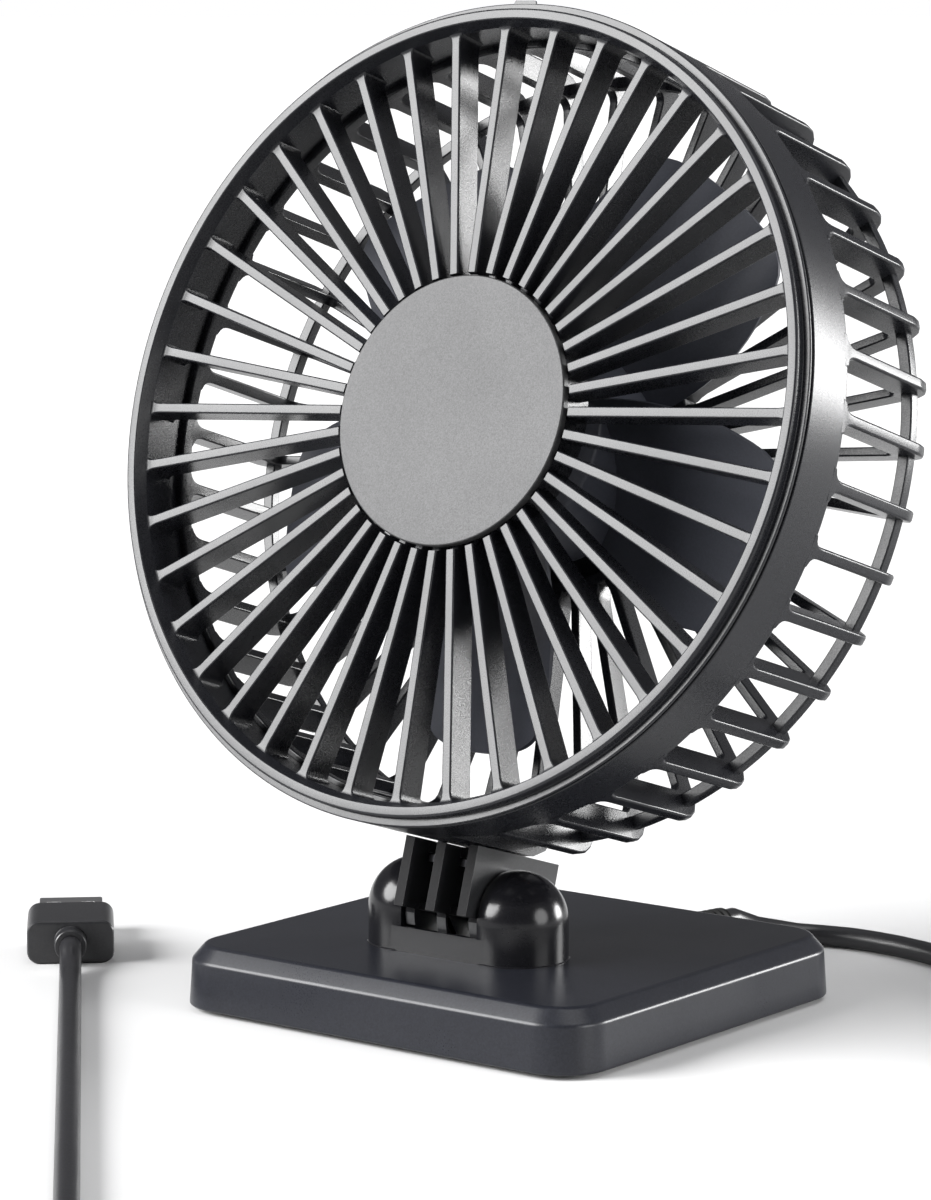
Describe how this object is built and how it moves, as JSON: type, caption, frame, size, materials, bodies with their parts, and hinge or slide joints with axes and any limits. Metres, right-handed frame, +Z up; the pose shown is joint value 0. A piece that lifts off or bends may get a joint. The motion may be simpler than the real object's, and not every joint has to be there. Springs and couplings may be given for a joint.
{
  "type": "desk fan",
  "caption": "Small desk fan: a round head with radial grilles on a tilting neck, above a square weighted base, with a USB-A lead.",
  "frame": {"origin": "centre of the anti-slip pad's underside, on the table", "axes": "+Z up, the fan blows towards -Y and leans back at rest, the tilt axis lies along X"},
  "size_m": [0.2515, 0.2704, 0.1713],
  "materials": {
    "charcoal_plastic": "satin, fine metallic sparkle",
    "grey_disc": "satin",
    "slate_plastic": "satin",
    "dark_steel": "plain",
    "bright_steel": "bright",
    "black_screw": "black oxide",
    "nickel": "plated",
    "brass": "turned",
    "bronze": "sintered",
    "copper_wire": "enamelled wire",
    "ferrite": "matte",
    "green_board": "solder mask",
    "black_rubber": "matte",
    "black_cord": "satin",
    "white_insulator": "plain"
  },
  "bodies": {
    "base": {"base_shell": "charcoal_plastic", "pedestal": "charcoal_plastic", "bottom_plate": "charcoal_plastic", "anti_slip_pad": "black_rubber", "counterweight": "dark_steel", "base_screw_1": "black_screw", "base_screw_2": "black_screw", "base_screw_3": "black_screw", "base_screw_4": "black_screw", "control_board": "green_board", "tact_switch": "nickel", "fan_lead": "black_rubber", "input_lead": "black_rubber", "tilt_bolt": "black_screw", "tilt_nut": "bright_steel", "friction_washer": "black_rubber", "strain_relief": "black_rubber", "lead_to_coil": "black_cord", "lead_coil": "black_cord", "lead_tie": "black_rubber", "lead_to_plug": "black_cord", "plug_grip": "charcoal_plastic", "plug_shell": "bright_steel", "plug_tongue": "white_insulator"},
    "button": {"power_button": "charcoal_plastic"},
    "head": {"neck": "charcoal_plastic", "neck_screw_1": "black_screw", "neck_screw_2": "black_screw", "rear_cage": "charcoal_plastic", "front_grille": "charcoal_plastic", "centre_disc": "grey_disc", "motor_cap": "charcoal_plastic", "bearing_tube": "brass", "front_bearing": "bronze", "rear_bearing": "bronze", "motor_board": "green_board", "stator_core": "dark_steel", "front_winding": "copper_wire", "rear_winding": "copper_wire", "motor_screw_1": "black_screw", "motor_screw_2": "black_screw", "motor_screw_3": "black_screw", "motor_lead": "black_rubber"},
    "impeller": {"impeller": "slate_plastic", "rotor_cup": "dark_steel", "magnet_ring": "ferrite", "rotor_shaft": "bright_steel", "shaft_clip": "bright_steel"}
  },
  "joints": [
    {"name": "head_tilt", "type": "hinge", "parent": "base", "child": "head", "pos_m": [0, -0.0118, 0.0179], "axis": [-1, 0, 0], "range_deg": [-18, 23]},
    {"name": "fan_spin", "type": "hinge", "parent": "head", "child": "impeller", "pos_m": [0, -0.01853, 0.10451], "axis": [0, -0.9558, 0.294], "continuous": true},
    {"name": "button_press", "type": "slide", "parent": "base", "child": "button", "axis": [0, -1, 0], "range_m": [0, 0.0008], "stiffness_N_per_m": 300}
  ]
}
